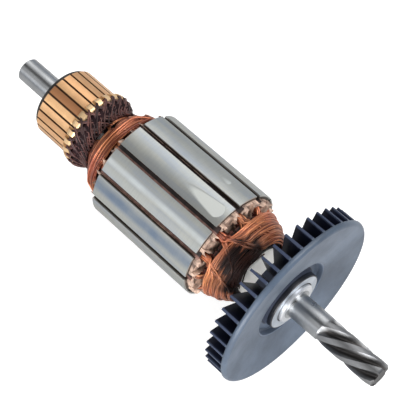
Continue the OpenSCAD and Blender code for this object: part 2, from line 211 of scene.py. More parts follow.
def shaft_places():
    """Along and Radius in millimetres, Angle in turns, and the Object coordinates themselves."""
    g, t, inlet, outlet = group("Shaft Places", [], [
        ("Along", "NodeSocketFloat"), ("Radius", "NodeSocketFloat"), ("Angle", "NodeSocketFloat"),
        ("Object", "NodeSocketVector")])
    spot = t.add("ShaderNodeTexCoord").outputs["Object"]
    xyz = t.add("ShaderNodeSeparateXYZ")
    t.put(xyz.inputs[0], spot)
    x, y, z = xyz.outputs
    t.put(outlet.inputs["Along"], t.times(x, 1 / MM))
    t.put(outlet.inputs["Radius"], t.times(t.math("SQRT", t.plus(t.times(y, y), t.times(z, z))), 1 / MM))
    t.put(outlet.inputs["Angle"], t.math("DIVIDE", t.math("ARCTAN2", z, y), 2 * math.pi))
    t.put(outlet.inputs["Object"], spot)
    return g


PLACES = shaft_places()


def about_shaft(t, *names):
    """The places of those names, from a new node of the group."""
    outputs = t.use(PLACES).outputs
    return [outputs[name] for name in names]


print("Group:", PLACES.name)

# %% [markdown]
# ## Turning marks
# A lathe or a grinding wheel leaves fine rings about the shaft.  An image could carry them, but it would
# repeat and need unwrapping.  Noise that changes fast along the shaft and slowly round it gives rings of
# any fineness.

# %% Turning marks


def turning_marks():
    """Fine rings left by turning or grinding about the shaft, as a value about 0.5."""
    g, t, inlet, outlet = group("Turning Marks", [("Pitch", "NodeSocketFloat", 4.0)],
                            [("Value", "NodeSocketFloat")])
    along, radius, turn = about_shaft(t, "Along", "Radius", "Angle")
    pitch = inlet.outputs["Pitch"]
    rings = t.vector(t.times(along, pitch), t.times(radius, pitch), t.times(turn, 1.5))
    t.put(outlet.inputs["Value"], t.noise(rings, 1.0, 4.0, 0.65))
    return g


MARKS = turning_marks()
print("Group:", MARKS.name)

# %% [markdown]
# ## Soft patches
# No worn or handled surface is even: oxide, varnish and grease lie in broad patches.  One noise, stretched
# so that it reaches black and white, gives a mask that every material can mix two of its colours by.

# %% Soft patches


def soft_patches():
    """Broad uneven patches, from 0 to 1.  A larger Size gives smaller patches."""
    g, t, inlet, outlet = group("Soft Patches", [("Size", "NodeSocketFloat", 120.0)],
                            [("Value", "NodeSocketFloat")])
    spot, = about_shaft(t, "Object")
    t.put(outlet.inputs["Value"], t.ramp(t.noise(spot, inlet.outputs["Size"], 5.0, 0.6), 0.35, 0.65))
    return g


PATCHES = soft_patches()
print("Group:", PATCHES.name)

# %% [markdown]
# ## Shade between the coils
# At the drive end two outer coils lie opposite each other, and the head dips between them.  The wires
# there lie in shadow, down to where they meet the sleeve.  Lamps alone leave such narrow dips too bright,
# so this group gives a mask of painted shade: how deep a place lies in a dip, with an edge that wanders
# from strand to strand.

# %% Shade between the coils
DIP_CLOCK = 123.0
# Where the shade starts and where it is full: as a share of a half turn from a dip's middle, in millimetres
# above the core's face, and as a radius.
DIP_WIDTH, DIP_HEIGHT = (0.225, 0.11), (CORE_FRONT + 3.6, CORE_FRONT + 6.5)
FOOT_WIDTH, FOOT_HEIGHT, FOOT_RADIUS = (0.35, 0.24), (CORE_FRONT + 4.5, CORE_FRONT + 7.5), (14.6, 12.6)
EDGE_WANDER, STRAND_WANDER = 0.14, 0.08


def valley_shade():
    """Painted shade: 1 in the two dips of the drive end's head and at their foot by the sleeve, 0 elsewhere.
    """
    g, t, inlet, outlet = group("Valley Painted Shade", [], [("Value", "NodeSocketFloat")])
    along, radius, turn, spot = about_shaft(t, "Along", "Radius", "Angle", "Object")
    wander = t.times(t.math("SUBTRACT", t.noise(spot, 160.0, 4.0), 0.5), EDGE_WANDER)
    half_turns = t.times(t.math("SUBTRACT", t.plus(turn, wander), DIP_CLOCK / 360 - 0.25), 2.0)
    away = t.apart(t.math("FRACT", half_turns), 0.5)
    shade = t.add("ShaderNodeAttribute", attribute_name="strand_shade").outputs["Fac"]
    strand_away = t.plus(away, t.times(shade, STRAND_WANDER))
    dip = t.times(t.ramp(strand_away, *DIP_WIDTH), t.ramp(along, *DIP_HEIGHT))
    low_down = t.times(t.ramp(away, *FOOT_WIDTH), t.ramp(along, *FOOT_HEIGHT))
    foot = t.times(t.ramp(radius, *FOOT_RADIUS), low_down)
    t.put(outlet.inputs["Value"], t.math("MAXIMUM", dip, foot))
    return g


VALLEY_SHADE = valley_shade()
print("Group:", VALLEY_SHADE.name)

# %% [markdown]
# ## Helpers for materials
# Colours are easiest to judge as they look on a screen, while Blender's shaders want them linear, so one
# call turns them round.  The others start a material and feed its Principled shader the same few sockets
# each time.

# %% Helpers for materials
MATERIALS = {}


def rgb(r, g, b):
    """A colour as it looks on the screen, from 0 to 255, made linear."""
    def lin(c):
        c /= 255
        return c / 12.92 if c <= 0.04045 else ((c + 0.055) / 1.055) ** 2.4
    return (lin(r), lin(g), lin(b), 1.0)


def material(name):
    """A new material, its short calls and its Principled shader."""
    m = bpy.data.materials.new(name)
    m.use_nodes = True
    return m, Tree(m.node_tree), m.node_tree.nodes["Principled BSDF"]


def finish_material(t, shader, color, metallic, roughness, bump=None, strength=0.2, distance=0.05, coat=0.0):
    """Feeds the shader, with a bump that stands distance millimetres high."""
    t.put(shader.inputs["Base Color"], color)
    t.put(shader.inputs["Metallic"], metallic)
    t.put(shader.inputs["Roughness"], roughness)
    t.put(shader.inputs["Coat Weight"], coat)
    if bump is not None:
        b = t.add("ShaderNodeBump")
        t.put(b.inputs["Strength"], strength)
        t.put(b.inputs["Distance"], distance * MM)
        t.put(b.inputs["Height"], bump)
        t.put(shader.inputs["Normal"], b.outputs[0])


def plain(name, dark, light, metallic, roughness, size=200.0, strength=0.15, distance=0.05):
    """A surface whose colour and roughness drift between two values over soft patches."""
    m, t, shader = material(name)
    patch = t.use(PATCHES, Size=size).outputs[0]
    spot, = about_shaft(t, "Object")
    grain = t.noise(spot, 5000.0, 2.0)
    rough = t.ramp(patch, 0.0, 1.0, roughness + 0.1, roughness)
    finish_material(t, shader, t.mix(patch, dark, light), metallic, rough, grain, strength, distance)
    return m


print("Helpers are ready.")

# %% [markdown]
# ## Shaft steel
# The shaft is ground bright where its bearings sit, and the pinion is duller, with painted shade in its
# tooth spaces.  Each part could have a material of its own, but then every face would have to be sorted.
# The place along the shaft and the distance from its middle tell ground steel, teeth and grooves apart
# inside one material.

# %% Shaft steel
PINION_START = 10.3
# Radii where the painted shade in the tooth grooves starts and is full.
GROOVE_EDGE_R, GROOVE_FLOOR_R = 3.85, 2.9


def shaft_material():
    m, t, shader = material("shaft_steel")
    along, radius = about_shaft(t, "Along", "Radius")
    patch = t.use(PATCHES, Size=160.0).outputs[0]
    ground = t.mix(t.times(patch, 0.5), rgb(176, 178, 180), rgb(148, 150, 152))
    toothed = t.ramp(along, PINION_START - 0.2, PINION_START + 0.8)
    ground = t.mix(t.times(toothed, 0.8), ground, rgb(122, 122, 123))
    # Painted shade in the pinion's tooth grooves.
    groove_shade = t.times(toothed, t.ramp(radius, GROOVE_EDGE_R, GROOVE_FLOOR_R))
    color = t.mix(groove_shade, ground, rgb(58, 56, 55))
    rough = t.plus(t.ramp(patch, 0.0, 1.0, 0.26, 0.32), t.times(toothed, 0.14))
    finish_material(t, shader, color, 1.0, rough)
    return m


MATERIALS["shaft_steel"] = shaft_material()
print("Material: shaft_steel")

# %% [markdown]
# ## Core steel
# The core is a pack of thin sheets, turned to size on the shaft.  Its skin shows the sheets as fine rings
# and faint bluish streaks along its length.  Two painted reflections run along the teeth: a bluish one on
# one tooth and a bright highlight on the next.  The shallow balance cut is bare and paler, and the slots'
# walls get painted shade.  The sheets could be modelled as hundreds of rings, but they are finer than
# anything the eye parts, so noise in the material draws them.

# %% Core steel
# Radii between which the bare balance cut, and then the painted shade on the slots' walls, come in.
CUT_RADIUS, WALL_SHADE_RADIUS = (CORE_R - 0.015, CORE_R - 0.05), (CORE_R - 0.22, CORE_R - 0.6)
# Angle, half width, share and colour of the two painted reflections that run along the teeth.
PAINTED_REFLECTIONS = [(152, 8, 0.8, rgb(112, 131, 156)), (125, 4, 0.85, rgb(224, 229, 230))]


def core_material():
    m, t, shader = material("core_steel")
    along, radius, turn = about_shaft(t, "Along", "Radius", "Angle")
    patch = t.use(PATCHES, Size=110.0).outputs[0]
    sheets = t.noise(t.vector(t.times(along, 2.0), t.times(turn, 24.0)), 1.0, 4.0, 0.7)
    ground = t.mix(t.ramp(sheets, 0.3, 0.7), rgb(179, 180, 174), rgb(189, 190, 183))
    ground = t.mix(t.times(patch, 0.35), ground, rgb(160, 168, 174))
    streaks = t.noise(t.vector(t.times(along, 0.03), t.times(turn, 40.0)), 1.0, 3.0, 0.6)
    ground = t.mix(t.times(t.ramp(streaks, 0.45, 0.7), 0.45), ground, rgb(146, 160, 184))
    # Painted reflections: a bluish band and a bright highlight along the teeth.
    for angle, half, share, reflection in PAINTED_REFLECTIONS:
        band = t.ramp(t.apart(turn, angle / 360), half / 360, 0.25 * half / 360, 0.0, share)
        ground = t.mix(t.times(band, t.ramp(patch, 0.0, 1.0, 0.6, 1.0)), ground, reflection)
    ground = t.mix(t.ramp(radius, *CUT_RADIUS), ground, rgb(214, 217, 213))
    # The slots' walls are darkened with painted shade.
    wall_shade = t.ramp(radius, *WALL_SHADE_RADIUS)
    color = t.mix(wall_shade, ground, rgb(96, 90, 84))
    rough = t.plus(t.ramp(sheets, 0.3, 0.7, 0.42, 0.38), t.times(wall_shade, 0.1))
    finish_material(t, shader, color, 0.9, rough, sheets, 0.08, 0.03)
    return m


MATERIALS["core_steel"] = core_material()
print("Material: core_steel, with", len(PAINTED_REFLECTIONS), "sheens")

# %% [markdown]
# ## Commutator copper
# Brushes polish the bars, and each bar takes its own tone, which also paints the reflections of bars that
# sit at slightly different tilts: one here has gone brown and its neighbour is bright.  Twenty-four
# materials would do it, but counting the bars round the shaft and drawing a random tone by that number needs
# one.  The same count finds the dark edges by the gaps, and the hooks are paler than the track.

# %% Commutator copper
TRACK_REAR, HOOKS_FRONT = reach("commutator_bar_01")[:2]
HOOK_LEN = 3.7
TRACK_FRONT = HOOKS_FRONT - HOOK_LEN
TRACK_R = 11.7
# The count of the bar that has gone brown.  The next one is the bright one.
BROWN_BAR = 30
# Where a bar's dark edge starts and is full, from its middle, as a share of the bars' pitch.
BAR_EDGE = (0.365, 0.405)


def bar_material():
    m, t, shader = material("commutator_copper")
    along, radius, turn = about_shaft(t, "Along", "Radius", "Angle")
    marks = t.use(MARKS, Pitch=5.0).outputs[0]
    patch = t.use(PATCHES, Size=300.0).outputs[0]
    place_in_bars = t.plus(t.times(turn, float(BARS)), BARS + 0.5 - BAR_CLOCK / BAR_PITCH)
    bar = t.math("FLOOR", place_in_bars)
    # Each bar's random tone is its own colour and also a painted reflection for its slight tilt.
    chance = t.add("ShaderNodeTexWhiteNoise", noise_dimensions="1D")
    t.put(chance.inputs["W"], bar)
    tone_and_sheen = t.ramp(chance.outputs["Value"], 0.0, 1.0, 0.45, 1.0)
    tone_and_sheen = t.math("SUBTRACT", tone_and_sheen, t.math("COMPARE", bar, BROWN_BAR, 0.5))
    tone_and_sheen = t.plus(tone_and_sheen, t.math("COMPARE", bar, BROWN_BAR + 1, 0.5))
    track = t.mix(tone_and_sheen, rgb(186, 130, 90), rgb(255, 208, 154))
    track = t.mix(t.ramp(marks, 0.3, 0.7, 0.0, 0.25), track, rgb(206, 150, 106))
    track = t.mix(t.times(patch, 0.25), track, rgb(186, 130, 88))
    hook = t.ramp(along, TRACK_FRONT + 0.1, TRACK_FRONT + 0.5)
    color = t.mix(hook, track, rgb(236, 200, 154))
    from_middle = t.apart(t.math("FRACT", place_in_bars), 0.5)
    color = t.mix(t.times(t.ramp(from_middle, *BAR_EDGE), 0.85), color, rgb(96, 60, 40))
    color = t.mix(t.ramp(radius, TRACK_R - 0.15, TRACK_R - 0.6), color, rgb(118, 80, 56))
    finish_material(t, shader, color, 0.65, t.ramp(marks, 0.3, 0.7, 0.36, 0.30), marks, 0.06, 0.03)
    return m


MATERIALS["commutator_copper"] = bar_material()
print("Material: commutator_copper, track from", TRACK_REAR, "to", TRACK_FRONT)

# %% [markdown]
# ## Commutator hub
# The bars sit in a dark moulding.  Between them it is browned by copper dust, which the place along the
# shaft and the radius are enough to find.

# %% Commutator hub


def hub_material():
    m, t, shader = material("hub_moulding")
    along, radius, spot = about_shaft(t, "Along", "Radius", "Object")
    patch = t.use(PATCHES, Size=200.0).outputs[0]
    bare = t.mix(patch, rgb(20, 20, 18), rgb(42, 38, 34))
    between = t.times(t.ramp(along, TRACK_REAR - 0.05, TRACK_REAR + 0.1),
                      t.ramp(radius, TRACK_R - 1.6, TRACK_R - 1.4))
    dust = t.mix(t.noise(spot, 900.0), rgb(72, 46, 32), rgb(112, 74, 50))
    finish_material(t, shader, t.mix(between, bare, dust), 0.0, 0.5, patch, 0.1, 0.05)
    return m


MATERIALS["hub_moulding"] = hub_material()
print("Material: hub_moulding")

# %% [markdown]
# ## Enamelled wire
# Copper wire is seen through its enamel, and no two strands look quite alike.  A material for every strand
# would be hopeless, and noise alone would colour across the strands.  So the strands carry two attributes,
# a tone of their own and how deep they lie in the bundle, and the material mixes by those: deep strands get
# painted shade, nearly black.  The coils and the varnished leads share this recipe with different colours.

# %% Enamelled wire


def wire_material(name, dark, light, other, metallic, roughness, coat):
    """Strands from dark to light, with the other colour in patches, and painted nearly black with shade
    where deep or in a dip.
    """
    m, t, shader = material(name)
    shade = t.add("ShaderNodeAttribute", attribute_name="strand_shade").outputs["Fac"]
    buried_shade = t.add("ShaderNodeAttribute", attribute_name="strand_depth_shade").outputs["Fac"]
    patch = t.use(PATCHES, Size=260.0).outputs[0]
    warm = t.mix(t.use(PATCHES, Size=60.0).outputs[0], light, other)
    mixed = t.times(shade, t.ramp(patch, 0.0, 1.0, 0.65, 1.0))
    # Deep strands, the coil bodies and the dips are painted nearly black as shade, with less shine.
    depth = t.math("MAXIMUM", buried_shade, t.use(VALLEY_SHADE).outputs[0])
    color = t.mix(depth, t.mix(mixed, dark, warm), t.mix(shade, rgb(14, 8, 8), rgb(52, 30, 25)))
    spot, = about_shaft(t, "Object")
    grain = t.noise(spot, 1800.0, 3.0)
    finish_material(t, shader, color, t.ramp(depth, 0.0, 1.0, metallic, 0.0),
                    t.ramp(mixed, 0.0, 1.0, roughness + 0.15, roughness), grain, 0.25, 0.03,
                    t.ramp(depth, 0.0, 1.0, coat, 0.0))
    t.put(shader.inputs["Specular IOR Level"], t.ramp(depth, 0.0, 1.0, 0.5, 0.2))
    return m


MATERIALS["winding_copper"] = wire_material(
    "winding_copper", rgb(106, 50, 38), rgb(255, 172, 116), rgb(240, 138, 106), 0.55, 0.3, 0.2)
MATERIALS["lead_varnish"] = wire_material(
    "lead_varnish", rgb(36, 18, 20), rgb(118, 72, 62), rgb(96, 54, 52), 0.1, 0.4, 0.15)
print("Materials: winding_copper, lead_varnish")

# %% [markdown]
# ## Slot wedges and papers
# A wedge closes each slot, and its colour is mostly painted shade, nearly black, with a paler strip of
# paper along one side of its mouth.  The papers that line the slots are the same paper, in broad pale and
# dark patches.  The strip's place is a share of the slot pitch, so a fraction of the angle draws all twelve
# at once.

# %% Slot wedges and papers
# Where the paper strip starts and is full, as a share of the slots' pitch.
STRIP_SIDE = (0.515, 0.545)


def wedge_material():
    m, t, shader = material("slot_wedge_fibre")
    turn, spot = about_shaft(t, "Angle", "Object")
    slots = t.math("SUBTRACT", t.times(turn, float(SLOTS)), SLOT_CLOCK / SLOT_PITCH - 0.5)
    side = t.ramp(t.math("FRACT", t.plus(slots, float(SLOTS))), *STRIP_SIDE)
    grain = t.noise(spot, 700.0, 4.0)
    # The wedge's dark colour is painted shade in the slot's mouth.
    dark = t.mix(t.use(PATCHES, Size=300.0).outputs[0], rgb(30, 24, 24), rgb(58, 40, 38))
    strip = t.mix(t.ramp(grain, 0.35, 0.65), rgb(118, 84, 76), rgb(160, 124, 114))
    finish_material(t, shader, t.mix(side, dark, strip), 0.0, 0.6, grain, 0.2, 0.05)
    return m


MATERIALS["slot_wedge_fibre"] = wedge_material()
MATERIALS["slot_paper"] = plain("slot_paper", rgb(112, 92, 84), rgb(238, 204, 182), 0.0, 0.6,
                                size=420.0, strength=0.3, distance=0.1)
print("Materials: slot_wedge_fibre, slot_paper")

# %% [markdown]
# ## Fan plastic
# The fan is one dark blue-grey moulding.  Its face and rim catch the light, the blades behind the disc are
# painted nearly black with shade and have little shine, the ring-shaped hollow round its boss is painted
# paler against its shadow, and the boss wall gets painted shade that is darkest at its front.  Painting
# masks by hand would tie them to this mesh, so each is a place along the shaft or a radius.

# %% Fan plastic
# Blades start behind the disc and are painted nearly black with shade; only their outer ends are as pale as
# the rim.
DISC_BACK, BLADES_FULL = -2.1, -2.5
RIM_R, BLADE_END_R = 28.7, 28.3
LIP_R, MOAT_FLOOR = 13.5, -4.2
BOSS_EDGE_R = 10.5


def fan_material():
    m, t, shader = material("fan_plastic")
    along, radius, spot = about_shaft(t, "Along", "Radius", "Object")
    patch = t.use(PATCHES, Size=70.0).outputs[0]
    face = t.mix(patch, rgb(60, 72, 88), rgb(79, 93, 111))
    blades = t.ramp(along, DISC_BACK, BLADES_FULL)
    # Blade flanks are painted nearly black as shade.
    blade_shade = t.mix(t.ramp(radius, RIM_R, BLADE_END_R), rgb(56, 64, 84), rgb(18, 21, 36))
    # The hollow round the boss is painted paler to lift its shadow.
    moat_painted_light = t.times(t.ramp(radius, LIP_R + 0.05, LIP_R - 0.05),
                   t.ramp(along, MOAT_FLOOR - 0.3, MOAT_FLOOR - 0.15))
    # The boss wall gets painted shade, darkest at its front.
    boss_shade = t.mix(t.ramp(along, MOAT_FLOOR + 1.4, MOAT_FLOOR + 1.7), rgb(58, 63, 76), rgb(12, 14, 22))
    color = t.mix(moat_painted_light, t.mix(blades, face, blade_shade), rgb(98, 110, 128))
    color = t.mix(t.ramp(radius, BOSS_EDGE_R + 0.1, BOSS_EDGE_R - 0.1), color, boss_shade)
    grain = t.noise(spot, 2600.0, 2.0)
    finish_material(t, shader, color, 0.0, t.ramp(patch, 0.0, 1.0, 0.42, 0.34), grain, 0.25, 0.06)
    t.put(shader.inputs["Specular IOR Level"], t.ramp(blades, 0.0, 1.0, 0.5, 0.12))
    return m


MATERIALS["fan_plastic"] = fan_material()
print("Material: fan_plastic, rim at radius", reach("fan")[2])

# %% [markdown]
# ## Bush, collar and sleeve
# A zinc bush fixes the fan to the shaft.  Painted shade darkens its flange's rim and the narrow gap round
# the bright collar in front of it.  The gap is too narrow for its own geometry, so both are bands of radius.
# The collar and the white sleeve have plain finishes.

# %% Bush, collar and sleeve
BUSH_FLANGE_R, COLLAR_R = reach("fan_bush")[2], reach("spacer_collar")[2]


def bush_material():
    m, t, shader = material("bush_metal")
    radius, = about_shaft(t, "Radius")
    patch = t.use(PATCHES, Size=180.0).outputs[0]
    bare = t.mix(patch, rgb(166, 174, 184), rgb(196, 202, 210))
    # Painted shade on the flange's rim and in the gap by the collar, which also takes most of their shine.
    rim_and_gap_shade = t.math("MAXIMUM", t.ramp(radius, BUSH_FLANGE_R - 0.1, BUSH_FLANGE_R - 0.02),
                 t.ramp(radius, COLLAR_R + 0.42, COLLAR_R + 0.3))
    metallic = t.ramp(rim_and_gap_shade, 0.0, 1.0, 0.85, 0.2)
    finish_material(t, shader, t.mix(rim_and_gap_shade, bare, rgb(48, 50, 58)), metallic, 0.36, patch, 0.1, 0.05)
    return m


MATERIALS["bush_metal"] = bush_material()
MATERIALS["collar_metal"] = plain("collar_metal", rgb(204, 206, 210), rgb(224, 225, 227), 0.9, 0.3)
MATERIALS["sleeve_plastic"] = plain("sleeve_plastic", rgb(236, 235, 230), rgb(248, 248, 246), 0.0, 0.42)
print("Materials: bush_metal, collar_metal, sleeve_plastic")

# %% [markdown]
# ## Materials on the solids
# Every solid takes the material that the record's slot names, so a repaint can find it.  Only the solid
# under the leads is different: it is painted nearly black as the shade between them, with hardly any shine.

# %% Materials on the solids
LEAD_SHADE_BED = plain("lead_shade_bed", rgb(20, 11, 14), rgb(44, 27, 30), 0.0, 0.6, 300.0)
LEAD_SHADE_BED.node_tree.nodes["Principled BSDF"].inputs["Specular IOR Level"].default_value = 0.1
for entry in frame["record"]["subparts"]:
    mesh = NODES[entry["node"]].data
    mesh.materials.clear()
    mesh.materials.append(LEAD_SHADE_BED if entry["node"] == "coil_leads" else MATERIALS[entry["material_slot"]])
print("Materials:", sorted(MATERIALS))

# %% [markdown]
# ## The wire tree
# A coil is hundreds of round wires that follow worked-out routes.  Curve objects with a bevel would do for
# a few, but each would be an object of its own.  One Geometry Nodes tree takes all the routes as plain
# edges, gives every strand its own shade, runs a ring along it and sets the material, so one modifier makes
# a whole coil.

# %% The wire tree


def store(t, geometry, name, value):
    """The geometry with a value kept on all its points under that name."""
    n = t.add("GeometryNodeStoreNamedAttribute", data_type="FLOAT", domain="POINT")
    t.put(n.inputs["Geometry"], geometry)
    t.put(n.inputs["Name"], name)
    t.put([s for s in n.inputs if s.name == "Value" and s.enabled][0], value)
    return n.outputs[0]


def wire_tree():
    """Edges in, round wires out: each run of edges becomes one closed tube of that diameter."""
    g = bpy.data.node_groups.new("Wires Along Lines", "GeometryNodeTree")
    g.interface.new_socket("Geometry", in_out="INPUT", socket_type="NodeSocketGeometry")
    for label, kind in (("Wire Diameter", "NodeSocketFloat"), ("Sides", "NodeSocketInt"),
                        ("Seed", "NodeSocketInt"), ("Depth", "NodeSocketFloat"),
                        ("Material", "NodeSocketMaterial")):
        g.interface.new_socket(label, in_out="INPUT", socket_type=kind)
    g.interface.new_socket("Geometry", in_out="OUTPUT", socket_type="NodeSocketGeometry")
    t = Tree(g)
    inlet, outlet = t.add("NodeGroupInput"), t.add("NodeGroupOutput")
    shade = t.add("FunctionNodeRandomValue", data_type="FLOAT")
    t.put(shade.inputs["ID"], t.add("GeometryNodeInputMeshIsland").outputs["Island Index"])
    t.put(shade.inputs["Seed"], inlet.outputs["Seed"])
    own_shade = [s for s in shade.outputs if s.type == "VALUE"][0]
    lines = store(t, inlet.outputs["Geometry"], "strand_shade", own_shade)
    # Every strand also keeps the piece's depth value: the share of painted shade it gets.
    lines = store(t, lines, "strand_depth_shade", inlet.outputs["Depth"])
    to_curve = t.add("GeometryNodeMeshToCurve")
    t.put(to_curve.inputs[0], lines)
    ring = t.add("GeometryNodeCurvePrimitiveCircle")
    t.put(ring.inputs["Resolution"], inlet.outputs["Sides"])
    t.put([s for s in ring.inputs if s.name == "Radius"][0], t.times(inlet.outputs["Wire Diameter"], 0.5))
    tube = t.add("GeometryNodeCurveToMesh")
    t.put(tube.inputs["Curve"], to_curve.outputs[0])
    t.put(tube.inputs["Profile Curve"], ring.outputs[0])
    t.put(tube.inputs["Fill Caps"], True)
    smooth = t.add("GeometryNodeSetShadeSmooth")
    t.put(smooth.inputs[0], tube.outputs[0])
    real = t.add("GeometryNodeRealizeInstances")
    t.put(real.inputs[0], smooth.outputs[0])
    paint = t.add("GeometryNodeSetMaterial")
    t.put(paint.inputs["Geometry"], real.outputs[0])
    t.put(paint.inputs["Material"], inlet.outputs["Material"])
    t.put(outlet.inputs[0], paint.outputs[0])
    return g


WIRES = wire_tree()
print("The wire tree has", len(WIRES.nodes), "nodes.")

# %% [markdown]
# ## From routes to a piece
# The modifier's inputs are set by their identifiers, and its result is taken off as a plain mesh, because
# only a plain mesh goes out with the part.  A body mesh can be joined to it, to close the view between the
# strands.

# %% From routes to a piece


def wires(name, lines, slot, diameter, sides, seed, depth=0.0, body=None):
    """A piece of round wires along lists of points in millimetres, over a body mesh if one is given."""
    verts, edges = [], []
    for line in lines:
        start = len(verts)
        verts += [tuple(c * MM for c in p) for p in line]
        edges += [(start + i, start + i + 1) for i in range(len(line) - 1)]
    mesh = bpy.data.meshes.new(name + "_lines")
    mesh.from_pydata(verts, edges, [])
    source = bpy.data.objects.new(name + "_source", mesh)
    scene.collection.objects.link(source)
    mod = source.modifiers.new("Wires", "NODES")
    mod.node_group = WIRES
    ids = {s.name: s.identifier for s in WIRES.interface.items_tree if s.in_out == "INPUT"}
    # The depth given to a piece is the share of painted shade on all its strands.
    for label, value in (("Wire Diameter", diameter * MM), ("Sides", sides), ("Seed", seed),
                         ("Depth", depth), ("Material", MATERIALS[slot])):
        mod[ids[label]] = value
    bpy.context.view_layer.update()
    made = bpy.data.meshes.new_from_object(source.evaluated_get(bpy.context.evaluated_depsgraph_get()))
    bpy.data.objects.remove(source)
    bpy.data.meshes.remove(mesh)
    made.name = name
    if body is not None:
        both = bmesh.new()
        both.from_mesh(made)
        both.from_mesh(body)
        both.to_mesh(made)
        both.free()
        bpy.data.meshes.remove(body)
    obj = bpy.data.objects.new(name, made)
    scene.collection.objects.link(obj)
    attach(obj, "root")
    return obj


print("Routes can be turned into pieces.")

# %% [markdown]
# ## Routes about the shaft
# A strand is easiest to plan as a few places along, away from and round the shaft.  A smooth line through
# them then gives the tube enough points to bend without corners.  A Catmull-Rom line is used because it
# passes through every place it is given, which a Bezier or a B-spline doesn't do by itself.

# %% Routes about the shaft


def place(x, r, angle):
    a = math.radians(angle)
    return (x, r * math.cos(a), r * math.sin(a))


def smooth_line(points, step):
    """A Catmull-Rom line through the points, sampled about every step millimetres."""
    pts = [Vector(p) for p in points]
    pts = [2 * pts[0] - pts[1]] + pts + [2 * pts[-1] - pts[-2]]
    out = []
    for a, b, c, d in zip(pts, pts[1:], pts[2:], pts[3:]):
        n = max(1, round((c - b).length / step))
        for i in range(n):
            t = i / n
            out.append(tuple(0.5 * (2 * b + (c - a) * t + (2 * a - 5 * b + 4 * c - d) * t * t
                                    + (3 * b - a - 3 * c + d) * t ** 3)))
    out.append(tuple(pts[-2]))
    return out


print("A straight test line has", len(smooth_line([(0, 0, 0), (4, 0, 0), (8, 0, 0)], 0.8)), "points.")

# %% [markdown]
# ## The winding heads
# Where the coils turn back outside the core they pile up into a head, which draws in towards its end like a
# dome.  The solids follow two such domes, and the strands have to lie just under the same ones.

# %% The winding heads
DOME_R, HEAD_LEN = 16.0, 12.8
# Millimetres that each head draws in altogether, and what share of that it has drawn in at each height.
DRIVE_DRAW, REAR_DRAW = 5.8, 5.6
HEIGHTS = [0, 0.35, 0.51, 0.66, 0.82, 0.91, 1]
DRIVE_SHARES = [0, 0.09, 0.19, 0.33, 0.53, 0.72, 1]
REAR_SHARES = [0, 0.11, 0.25, 0.48, 0.71, 0.86, 1]
# Each coil bends out of its slot between these heights above the core.
JOG_LOW, JOG_TOP = 3.0, 3.9
LAYERS, SPAN = SLOTS // 2, 5 * SLOT_PITCH


def dome(draw, shares):
    """Pairs of height, as a share of the head, and millimetres drawn in there."""
    return [(height, round(share * draw, 2)) for height, share in zip(HEIGHTS, shares)]


DRIVE_DOME, REAR_DOME = dome(DRIVE_DRAW, DRIVE_SHARES), dome(REAR_DRAW, REAR_SHARES)


def dome_r(profile, height):
    """The dome's radius at that height above the core."""
    u = min(max(height / HEAD_LEN, 0.0), 1.0)
    for (u0, d0), (u1, d1) in zip(profile, profile[1:]):
        if u <= u1:
            return DOME_R - d0 - (d1 - d0) * (u - u0) / (u1 - u0)
    return DOME_R - profile[-1][1]


def slab_top(pair):
    """How high the coils of that pair reach above the core: each pair wound later ends further out."""
    low = JOG_TOP + 0.1
    return low + (HEAD_LEN - low) * (pair + 1) / LAYERS - 0.1


print("Heads draw in to", dome_r(DRIVE_DOME, HEAD_LEN), "and", dome_r(REAR_DOME, HEAD_LEN), "mm radius")

# %% [markdown]
# ## One strand of a coil
# A strand leaves its slot, climbs over the bend, crosses the head and comes down into the coil's other
# slot.  A machine lays the wires in bundles that cross at a slant and bulge in the middle, so a strand's
# place in the fan picks its bundle, and the bundle decides how far it leans and how deep it lies.  Small
# random waves keep neighbours from running in step.

# %% One strand of a coil
rng = random.Random(20)
WIRE_D = 0.44
COIL_BOTTOM_R, COIL_SPLIT_R, COIL_TOP_R = 10.2, 13.05, 15.9
LAYER_STEP, ROW_STEP = 0.34, 0.38
# How far under the dome and under its coil's end the uppermost strand lies.
SKIN = 0.25
# Heights at which a strand starts inside its slot and leaves it, degrees that the strands spread there,
# and how much further they have spread once they are past the bend.
SLOT_START, SLOT_END, FOOT_SPREAD, BEND_SPREAD = -2.5, 1.6, 6, 1.3
# Degrees that the lowest strand takes to climb onto the head, and how many more the highest one takes.
CLIMB, CLIMB_MORE = 6, 16
# Per end: the core's face, the way out, the dome, the lowest height of its two outer coils, the bundles in a
# fan, how far they lean, and how many coils lie over each pair.
HEADS = [
    {"face": CORE_FRONT, "grow": 1, "dome": DRIVE_DOME, "lowest": 3.6, "bundles": 5, "tilt": 0.24,
     "over": [5, 4, 3, 2, 1, 0]},
    {"face": CORE_REAR, "grow": -1, "dome": REAR_DOME, "lowest": 3.2, "bundles": 4, "tilt": 0.36,
     "over": [5, 2, 0, 1, 3, 4]},
]
HEAD_STEPS = 12


def bundled(head, first, w):
    """A strand's place in the fan once it is in its bundle, how it leans and how much deeper it lies."""
    bundle = min(int(w * head["bundles"]), head["bundles"] - 1)
    across = w * head["bundles"] - bundle
    lean = head["tilt"] * math.sin(first * 1.7 + bundle * 2.4 + head["grow"])
    deeper = 0.25 * (bundle % 2) + 0.5 * (2 * across - 1) ** 2
    return (bundle + 0.7 * across + 0.15) / head["bundles"], lean, deeper


